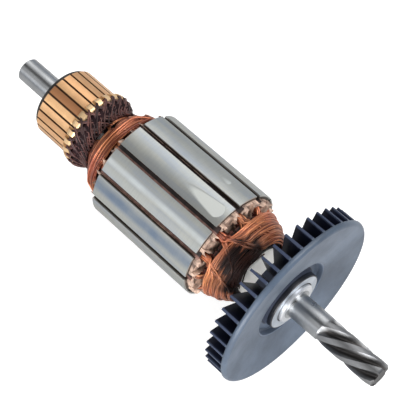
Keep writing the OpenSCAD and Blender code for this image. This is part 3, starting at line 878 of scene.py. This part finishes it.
def fan_line(head, pair, first, w, row):
    """One strand from slot to slot over the head: w is its place in the fan, from 0 by the core to 1."""
    bottom, top_r = (COIL_BOTTOM_R, COIL_SPLIT_R) if pair == 0 else (COIL_SPLIT_R, COIL_TOP_R)
    r_slot = rng.uniform(bottom + 0.5, top_r - 0.4)
    wave, phase = rng.uniform(0.05, 0.22), rng.uniform(0, 6.28)
    w, lean, deeper = bundled(head, first, w)
    depth = SKIN + LAYER_STEP * head["over"][pair] + ROW_STEP * row + deeper
    ends = []
    for w_end in (min(1.0, max(0.0, w - lean)), min(1.0, max(0.0, w + lean + rng.uniform(-0.1, 0.1)))):
        ends.append(((w_end - 0.5) * FOOT_SPREAD, CLIMB + CLIMB_MORE * w_end + rng.uniform(-1.5, 1.5)))
    (foot0, climb0), (foot1, climb1) = ends
    low = head["lowest"] if head["over"][pair] < 2 else JOG_TOP + 0.5
    foot_h, ceiling = min(JOG_TOP - 0.3, low), slab_top(pair) - SKIN
    peak = low + (ceiling - low) * w
    bend = (JOG_LOW + 0.2, dome_r(head["dome"], JOG_LOW) - depth - 0.4)
    start, stop = foot0 * BEND_SPREAD + 2, SPAN - 2 - foot1 * BEND_SPREAD
    route = [(SLOT_START, r_slot, foot0), (SLOT_END, r_slot, foot0), (*bend, foot0 * BEND_SPREAD + 1)]
    for n in range(HEAD_STEPS + 1):
        a = start + (stop - start) * n / HEAD_STEPS
        rise = min((a - start) / climb0, (stop - a) / climb1, 1.0)
        rise = math.sin(rise * math.pi / 2) ** 0.8 if rise > 0 else 0.0
        sway = math.sin(n * 1.1 + phase) * wave + lean * 1.6 * math.cos(math.pi * n / HEAD_STEPS)
        h = foot_h + (peak - foot_h) * rise + sway * rise
        route.append((min(h, ceiling), dome_r(head["dome"], h) - depth - abs(sway) * 0.5, a))
    route += [(*bend, SPAN - foot1 * BEND_SPREAD - 1),
              (SLOT_END, r_slot, SPAN - foot1), (SLOT_START, r_slot, SPAN - foot1)]
    return smooth_line([place(head["face"] + head["grow"] * h, r, first + a) for h, r, a in route], 0.8)


print("Bundles per fan:", [head["bundles"] for head in HEADS])

# %% [markdown]
# ## Coils
# Twelve coils go round the core, each five slots wide, and every later one lies further out.  Strands
# packed all through would be far too many, so each coil has two rows of them over its own solid, which is
# drawn in a little and painted nearly black as the shade between the wires.  Coils that are outermost at
# neither end get painted shade on their strands as well.

# %% Coils
ROWS = 2
# Strands side by side in a coil of each pair, from the first wound to the last.
STRANDS = [12, 14, 16, 20, 24, 26]
# The body's size about the shaft, and the share of its height that it loses.
BODY_SHARE, BODY_SHORTER = 0.87, 0.09
# Painted shade of the strands of a coil that is outermost at neither end, as they lie deep, and of the body
# where it lies in the bend.
INNER_SHADE, BEND_SHADE = 0.35, 0.55


def coil_lines(index):
    pair = index % LAYERS
    first = SLOT_CLOCK + SPAN + index * SLOT_PITCH
    lines = []
    for head in HEADS:
        for row in range(ROWS):
            for i in range(STRANDS[pair]):
                w = (i + 0.5 * row + rng.uniform(0.0, 0.4)) / (STRANDS[pair] + 0.5)
                lines.append(fan_line(head, pair, first, w, row))
    return lines


def packed_shade_body(node):
    """A copy of the coil's own form, drawn in under the strands and marked as deep, so that it is painted as
    shade.
    """
    body = NODES[node].data.copy()
    for v in body.vertices:
        x, y, z = v.co
        h = max(x / MM - CORE_FRONT, CORE_REAR - x / MM, 0.0)
        grow = 1 if x / MM > CORE_FRONT else -1
        v.co = (x - grow * BODY_SHORTER * h * MM, y * BODY_SHARE, z * BODY_SHARE)
    body.attributes.new("strand_shade", "FLOAT", "POINT")
    deep = body.attributes.new("strand_depth_shade", "FLOAT", "POINT")
    for v, item in zip(body.vertices, deep.data):
        x = v.co.x / MM
        item.value = 1.0 if x > CORE_FRONT + JOG_LOW or x < CORE_REAR - JOG_LOW else BEND_SHADE
    return body


coil_faces = 0
for i in range(SLOTS):
    name = "coil_%02d" % (i + 1)
    outermost = any(head["over"][i % LAYERS] == 0 for head in HEADS)
    # Coils that are outermost at neither end get painted shade on their strands.
    coil = wires("wound_" + name, coil_lines(i), "winding_copper", WIRE_D, sides=5, seed=i,
                 depth=0.0 if outermost else INNER_SHADE, body=packed_shade_body(name))
    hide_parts(name)
    coil_faces += len(coil.data.polygons)
print("Coils drawn:", coil_faces, "faces")

# %% [markdown]
# ## Turns in the dips
# Between the two outer coils of the drive end the sleeve would show, while on the real head earlier turns
# lie low across it.  They are drawn as short flat arcs in layers, which the dome's own curve then sinks at
# their ends.

# %% Turns in the dips
VALLEY_CLOCK = 124.0
VALLEY_LAYERS, VALLEY_TURNS = 4, 15
VALLEY_LOW, VALLEY_RISE = 6.2, 6.0
# How deep under the dome the first layer lies, how much deeper each next one, and how far the ends sink.
VALLEY_DEPTH, VALLEY_STEP, VALLEY_SAG = 0.9, 0.42, 0.5


def valley_lines():
    """Turns that lie low across the two dips of the drive end's head and close them over the sleeve."""
    lines = []
    for middle in (VALLEY_CLOCK, VALLEY_CLOCK + 180):
        for layer in range(VALLEY_LAYERS):
            for i in range(VALLEY_TURNS):
                h = VALLEY_LOW + VALLEY_RISE * (i + rng.uniform(0, 0.6)) / VALLEY_TURNS
                slant, half = rng.uniform(-0.9, 0.9), rng.uniform(34, 46)
                out = []
                for n in range(-4, 5):
                    up = min(max(h + slant * n / 4, JOG_TOP), HEAD_LEN - 0.3)
                    under = VALLEY_DEPTH + VALLEY_STEP * layer + VALLEY_SAG * (n / 4) ** 2
                    r = max(dome_r(DRIVE_DOME, up) - under, SLEEVE_R + 0.3)
                    out.append(place(CORE_FRONT + up, r, middle + half * n / 4))
                lines.append(smooth_line(out, 0.8))
    return lines


# The turns get strong painted shade, as they lie low in the dips.
valley_turns = wires("valley_turns", valley_lines(), "winding_copper", WIRE_D, sides=5, seed=31, depth=0.7)
print("Turns in the dips:", len(valley_turns.data.polygons), "faces")

# %% [markdown]
# ## Slot papers
# The papers stand out of the slots, and their ends are torn and bent by the winding.  The solid's flat ends
# need more points before they can bend, so only their long edges are cut.  Sines of the angle then tear and
# bend every paper differently, without a random draw.

# %% Slot papers
LINER_PROUD = round(reach("slot_liner_01")[1] - CORE_FRONT, 2)
LONG_EDGE, TEAR = 1.1, 1.3
# How far an end leans inwards, as a share of its radius, and how much that varies.
LEAN, LEAN_VARIES = 0.035, 0.05


def torn_paper(node):
    mesh = NODES[node].data.copy()
    mesh.name = "torn_" + node
    fine = bmesh.new()
    fine.from_mesh(mesh)
    for _ in range(2):
        long = [e for e in fine.edges if e.calc_length() > LONG_EDGE * MM
                and all(v.co.x / MM > CORE_FRONT - 0.01 or v.co.x / MM < CORE_REAR + 0.01 for v in e.verts)]
        bmesh.ops.subdivide_edges(fine, edges=long, cuts=1, use_grid_fill=True)
    for v in fine.verts:
        x = v.co.x / MM
        h = max(x - CORE_FRONT, CORE_REAR - x)
        if h > 0.2:
            grow = 1 if x > CORE_FRONT else -1
            share = h / LINER_PROUD
            a = math.atan2(v.co.z, v.co.y)
            tear = 0.5 + 0.5 * math.sin(a * 31 + grow + math.sin(a * 57) * 2.0)
            bend = 1 - (LEAN + LEAN_VARIES * math.sin(a * 23 + grow * 2)) * share
            v.co = (v.co.x - grow * tear * TEAR * share * MM, v.co.y * bend, v.co.z * bend)
    fine.to_mesh(mesh)
    fine.free()
    obj = bpy.data.objects.new("torn_" + node, mesh)
    scene.collection.objects.link(obj)
    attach(obj, "root")
    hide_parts(node)


for i in range(SLOTS):
    torn_paper("slot_liner_%02d" % (i + 1))
print("Papers drawn:", SLOTS)

# %% [markdown]
# ## Coil leads
# The coils' ends come out of the rear head and hook onto the bars, and each hook holds wires that slant to
# both sides.  Their route is a short list of given places, which every lead shares.  The angle
# turns further the closer it comes to the head, so that the two slants cross like a basket.

# %% Coil leads
LEAD_D = 0.46
LEADS_PER_SIDE = 3
# Degrees that the first lead turns, how many more each next one does, and how far from a hook's middle
# they start.
LEAD_TURN, LEAD_TURN_STEP, HOOK_SIDE = 30, 7, 1.5
# How high the upper and the lower side's leads lie over the route, and how much lower each next one lies.
LIFT_UPPER, LIFT_LOWER, LIFT_STEP = 0.5, 0.28, 0.1
# Place along the shaft, radius, and the share of the turn that is done there.
LEAD_ROUTE = [(-85.6, 11.9, 0.0), (-84.6, 12.4, 0.06), (-83.4, 12.45, 0.16), (-82.2, 12.1, 0.34),
              (-81.0, 11.3, 0.56), (-79.9, 10.5, 0.80), (-78.6, 10.2, 1.0), (-77.2, 10.6, 1.12)]


def lead_lines():
    lines = []
    for k in range(BARS):
        hook = BAR_CLOCK + BAR_PITCH * k
        for side in (-1, 1):
            for n in range(LEADS_PER_SIDE):
                turn = side * (LEAD_TURN + LEAD_TURN_STEP * n + rng.uniform(-2, 2))
                lift = (LIFT_UPPER if side > 0 else LIFT_LOWER) - LIFT_STEP * n
                route = []
                for x, r, done in LEAD_ROUTE:
                    route.append(place(x, r + lift * min(1, done * 6) + rng.uniform(-0.05, 0.05),
                                       hook + side * HOOK_SIDE + turn * done + rng.uniform(-0.4, 0.4)))
                lines.append(smooth_line(route, 0.7))
    return lines


leads = wires("varnished_leads", lead_lines(), "lead_varnish", LEAD_D, sides=6, seed=3)
print("Leads drawn:", len(leads.data.polygons), "faces")

# %% [markdown]
# ## Floor
# The part lies over a plain pale floor that keeps its shadow.  A floor lit until it turns white would light
# the part too much, so its paint stays pale grey and a glow that the camera sees lifts it to white; a faint
# glow brightens it in reflections too.

# %% Floor
FLOOR_HALF, FLOOR_GAP = 2.0, 0.0005
CAMERA_GLOW, MIRROR_GLOW = 0.62, 0.05


def floor():
    z = cad_low.z - FLOOR_GAP
    mesh = bpy.data.meshes.new("studio_floor")
    mesh.from_pydata([(x * FLOOR_HALF, y * FLOOR_HALF, z) for x, y in ((-1, -1), (1, -1), (1, 1), (-1, 1))],
                     [], [(0, 1, 2, 3)])
    obj = bpy.data.objects.new("studio_floor", mesh)
    scene.collection.objects.link(obj)
    m, t, shader = material("studio_floor")
    path = t.add("ShaderNodeLightPath")
    spot, = about_shaft(t, "Object")
    grain = t.noise(spot, 40.0, 3.0)
    finish_material(t, shader, t.mix(grain, rgb(206, 206, 206), rgb(212, 212, 212)), 0.0, 0.9)
    t.put(shader.inputs["Specular IOR Level"], 0.0)
    glow = t.add("ShaderNodeEmission")
    t.put(glow.inputs["Color"], rgb(255, 255, 255))
    t.put(glow.inputs["Strength"], t.plus(t.times(path.outputs["Is Camera Ray"], CAMERA_GLOW),
                                          t.times(path.outputs["Is Glossy Ray"], MIRROR_GLOW)))
    both = t.add("ShaderNodeAddShader")
    t.put(both.inputs[0], shader.outputs[0])
    t.put(both.inputs[1], glow.outputs[0])
    out = [n for n in m.node_tree.nodes if n.type == "OUTPUT_MATERIAL"][0]
    t.put(out.inputs["Surface"], both.outputs[0])
    mesh.materials.append(m)
    return obj


print("Floor at", floor().data.vertices[0].co.z)

# %% [markdown]
# ## Surround
# Steel shows its surroundings more than its own colour.  A plain white world would leave it flat, so what
# it mirrors is brighter overhead, cooler near the floor, and has one dark strip along the shaft that draws
# the dark line on turned steel.  The camera sees plain white, and dull surfaces are lit by one even grey.

# %% Surround
FLOOR_SHEEN, TOP_SHEEN, SIDE_SHEEN = 0.28, 0.82, 0.12
STRIP_CLOCK, STRIP_HALF, STRIP_EDGE, STRIP_SHEEN = 101, 10, 22, 0.04
EVEN_LIGHT = 0.58
COOL = (0.62, 0.76, 1.0, 1)


def world():
    w = bpy.data.worlds.new("Studio")
    scene.world = w
    w.use_nodes = True
    t = Tree(w.node_tree)
    back = w.node_tree.nodes["Background"]
    path = t.add("ShaderNodeLightPath")
    glossy = path.outputs["Is Glossy Ray"]
    xyz = t.add("ShaderNodeSeparateXYZ")
    t.put(xyz.inputs[0], t.add("ShaderNodeTexCoord").outputs["Generated"])
    y, z = xyz.outputs[1:]
    sky = t.plus(t.ramp(z, -0.1, 1.0, FLOOR_SHEEN, TOP_SHEEN), t.ramp(y, 0.0, 0.8, 0.0, SIDE_SHEEN))
    off = t.apart(t.math("ARCTAN2", z, y), math.radians(STRIP_CLOCK))
    strip = t.ramp(off, math.radians(STRIP_HALF), math.radians(STRIP_EDGE), STRIP_SHEEN, 1.0)
    dull = t.times(t.ramp(glossy, 1.0, 0.0), EVEN_LIGHT)
    light = t.plus(t.times(t.times(sky, strip), glossy), dull)
    cool = t.times(t.ramp(z, 0.5, -0.1), glossy)
    t.put(back.inputs["Color"], t.mix(cool, rgb(255, 255, 255), COOL))
    t.put(back.inputs["Strength"], t.math("MAXIMUM", light, path.outputs["Is Camera Ray"]))


world()
print("World:", scene.world.name, "with a dark strip at", STRIP_CLOCK, "degrees")

# %% [markdown]
# ## Lamps
# Large soft boxes give long even highlights along the core and the shaft, where a small lamp would give
# hard dots.  One comes from each side, a key lamp stands low in front of the near side, and two small ones
# lift the fan's face and the drive end's head.

# %% Lamps
CENTRE = Vector((-0.045, 0.0, 0.0))
# Name, direction from the part, distance, width and height in metres, and power in watts.
LAMPS = [
    ("key", (-0.36, -0.88, 0.32), 0.6, 0.5, 0.24, 0.36),
    ("left_box", (-0.2, -0.52, 0.85), 0.8, 0.8, 0.32, 0.25),
    ("right_box", (-0.2, 0.62, 0.78), 0.8, 0.8, 0.4, 1.15),
    ("fan_fill", (0.75, -0.9, 0.2), 0.34, 0.2, 0.2, 1.2),
    ("head_fill", (0.5, 0.4, 0.8), 0.5, 0.25, 0.25, 1.25),
]


def area_light(name, direction, distance, width, height, power):
    data = bpy.data.lights.new(name, "AREA")
    data.shape = "RECTANGLE"
    data.size, data.size_y = width, height
    data.energy = power
    obj = bpy.data.objects.new(name, data)
    scene.collection.objects.link(obj)
    obj.location = CENTRE + Vector(direction).normalized() * distance
    obj.rotation_euler = (CENTRE - obj.location).to_track_quat("-Z", "Y").to_euler()


for lamp in LAMPS:
    area_light(*lamp)
print("Lamps:", [lamp[0] for lamp in LAMPS])

# %% [markdown]
# ## Camera
# The camera looks down on the part from in front of the pinion's end, through a long lens that keeps the
# fan from swelling.  It is placed by its angle about a point on the shaft and a small shift in its own
# plane, which frames the part without turning the view.

# %% Camera
AZIMUTH, ELEVATION = 45.1, 59.8
LENS, SENSOR = 111.6, 36.0
ANCHOR = Vector((-0.039, 0.0, 0.0))
DISTANCE, SHIFT_RIGHT, SHIFT_UP = 0.38394, 0.00268, 0.00308


def camera():
    azimuth, elevation = math.radians(AZIMUTH), math.radians(ELEVATION)
    back = Vector((math.sin(azimuth) * math.cos(elevation), -math.cos(azimuth) * math.cos(elevation),
                   math.sin(elevation)))
    right = Vector((0, 0, 1)).cross(back).normalized()
    up = back.cross(right)
    data = bpy.data.cameras.new("camera")
    data.sensor_width, data.lens = SENSOR, LENS
    obj = bpy.data.objects.new("camera", data)
    scene.collection.objects.link(obj)
    spot = ANCHOR + back * DISTANCE + right * SHIFT_RIGHT + up * SHIFT_UP
    obj.matrix_world = Matrix.Translation(spot) @ Matrix((right, up, back)).transposed().to_4x4()
    scene.camera = obj


camera()
scene.view_settings.view_transform = "Standard"
print("Camera at", tuple(scene.camera.location))
